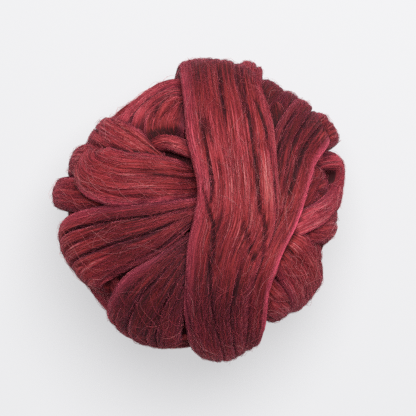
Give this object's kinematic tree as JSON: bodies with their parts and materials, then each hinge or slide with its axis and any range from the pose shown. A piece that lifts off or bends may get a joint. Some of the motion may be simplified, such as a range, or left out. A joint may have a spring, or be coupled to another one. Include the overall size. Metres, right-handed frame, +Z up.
{
  "type": "wool roving ball",
  "caption": "Ball of combed wool roving, one wide soft strand wound loosely over itself, resting on a small flat spot.",
  "frame": {"origin": "middle of the flat spot that the ball rests on", "axes": "+Z up, out of the crown; +Y towards the far end of the strap that runs over the crown; +X to the right of it seen from above"},
  "size_m": [0.1607, 0.1679, 0.1104],
  "materials": {
    "crimson_wool": "combed wool fibre, dyed deep crimson, matt with a soft sheen along the fibres"
  },
  "bodies": {
    "root": {"roving_ball": "crimson_wool"}
  },
  "joints": []
}
